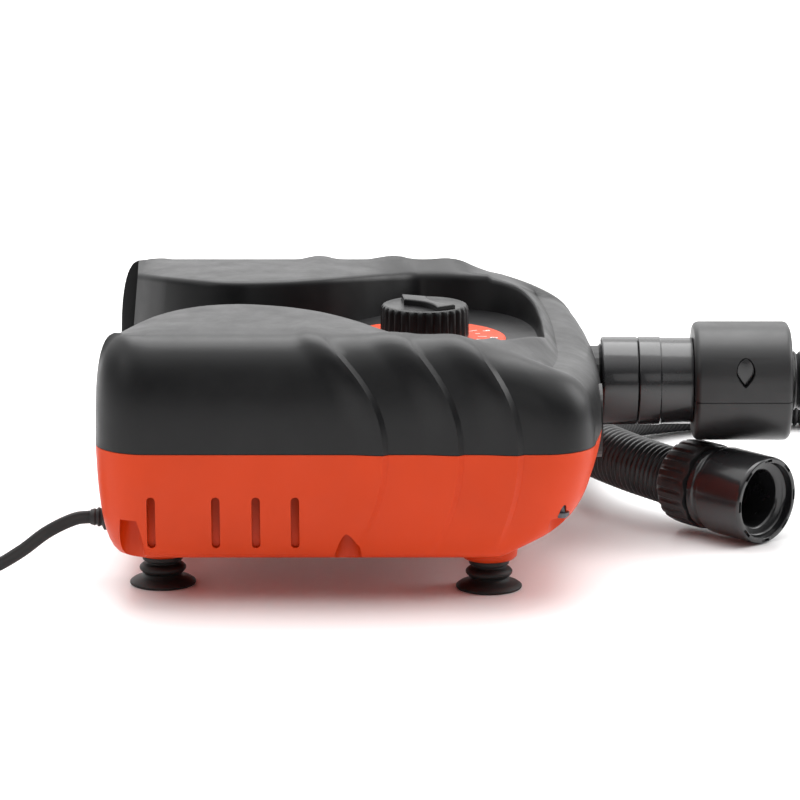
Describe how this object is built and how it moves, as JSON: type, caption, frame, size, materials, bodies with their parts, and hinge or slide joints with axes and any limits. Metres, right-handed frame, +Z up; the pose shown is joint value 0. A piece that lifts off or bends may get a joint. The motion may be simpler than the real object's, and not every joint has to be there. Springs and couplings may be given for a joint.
{
  "type": "electric air pump",
  "caption": "Broad two-tone electric inflator on suction feet, with a pressure dial in the valley between its pods, a corrugated hose and a coiled 12 V lead.",
  "frame": {"origin": "on the surface the feet stand on, under the middle of the pump and its outlet spigot without the hose and the lead", "axes": "+X towards the hose outlet, +Y towards the far pod, which holds the blower, +Z up"},
  "size_m": [0.6936, 0.4131, 0.1311],
  "materials": {
    "black_plastic": "fine satin moulded texture",
    "orange_plastic": "satin moulded orange",
    "black_rubber": "soft matt rubber",
    "hose_plastic": "semi-gloss corrugated plastic",
    "zinc_steel": "zinc-plated",
    "motor_can": "pressed steel",
    "white_nylon": "natural nylon",
    "cast_aluminium": "die cast",
    "circuit_board": "green solder mask",
    "plated_brass": "machined",
    "red_lens": "clear red"
  },
  "bodies": {
    "case": {"upper_shell": "black_plastic", "switch_housing": "black_plastic", "outlet_spigot": "black_plastic", "inlet_port": "black_plastic", "hose_collar": "black_plastic", "hose_adapter": "black_plastic", "coupling_box": "black_plastic", "hose_cuff": "black_plastic", "hose_nozzle": "black_plastic", "plug_body": "black_plastic", "lower_shell": "orange_plastic", "dial_plate": "orange_plastic", "foot_rear_near": "black_rubber", "foot_rear_far": "black_rubber", "foot_front_near": "black_rubber", "foot_front_far": "black_rubber", "pressure_tube": "black_rubber", "lead_grommet": "black_rubber", "power_lead": "black_rubber", "lead_coil": "black_rubber", "lead_tail": "black_rubber", "air_hose": "hose_plastic", "plug_contact_left": "zinc_steel", "plug_contact_right": "zinc_steel", "foot_screw_rear_near": "zinc_steel", "foot_screw_rear_far": "zinc_steel", "foot_screw_front_near": "zinc_steel", "foot_screw_front_far": "zinc_steel", "case_screw_rear_near": "zinc_steel", "case_screw_middle_near": "zinc_steel", "case_screw_front_near": "zinc_steel", "case_screw_rear_far": "zinc_steel", "case_screw_middle_far": "zinc_steel", "case_screw_front_far": "zinc_steel", "blower_motor": "motor_can", "compressor_motor": "motor_can", "outlet_manifold": "white_nylon", "blower_volute": "white_nylon", "air_duct": "white_nylon", "pressure_regulator": "cast_aluminium", "gearbox_plate": "cast_aluminium", "compressor_cylinder": "cast_aluminium", "cylinder_head": "cast_aluminium", "control_board": "circuit_board", "power_lamp": "red_lens"},
    "knob": {"pressure_knob": "black_plastic", "knob_shaft": "zinc_steel"},
    "rocker": {"switch_rocker": "black_plastic"},
    "impeller": {"blower_impeller": "white_nylon"},
    "crank": {"crank_gear": "white_nylon"},
    "pinion": {"motor_pinion": "plated_brass"},
    "piston": {"piston": "cast_aluminium"},
    "tip": {"plug_tip": "zinc_steel"}
  },
  "joints": [
    {"name": "knob_turn", "type": "hinge", "parent": "case", "child": "knob", "pos_m": [0.02685, 0, 0.1086], "axis": [0, 0, 1], "range_deg": [-135, 135]},
    {"name": "switch_rock", "type": "hinge", "parent": "case", "child": "rocker", "pos_m": [0.07035, -0.022, 0.1045], "axis": [1, 0, 0], "range_deg": [-10, 10]},
    {"name": "impeller_spin", "type": "hinge", "parent": "case", "child": "impeller", "pos_m": [-0.05985, 0.075, 0.074], "axis": [0, 1, 0], "continuous": true},
    {"name": "crank_spin", "type": "hinge", "parent": "case", "child": "crank", "pos_m": [-0.03785, -0.072, 0.085], "axis": [1, 0, 0], "continuous": true},
    {"name": "pinion_spin", "type": "hinge", "parent": "case", "child": "pinion", "pos_m": [-0.03785, -0.072, 0.053], "axis": [1, 0, 0], "continuous": true},
    {"name": "piston_slide", "type": "slide", "parent": "case", "child": "piston", "axis": [0, 1, 0], "range_m": [-0.007, 0.007]},
    {"name": "tip_press", "type": "slide", "parent": "case", "child": "tip", "axis": [0, 1, 0], "range_m": [-0.002, 0], "stiffness_N_per_m": 300}
  ],
  "couplings": [
    {"joint": "pinion_spin", "follows": "crank_spin", "ratio": -4}
  ]
}
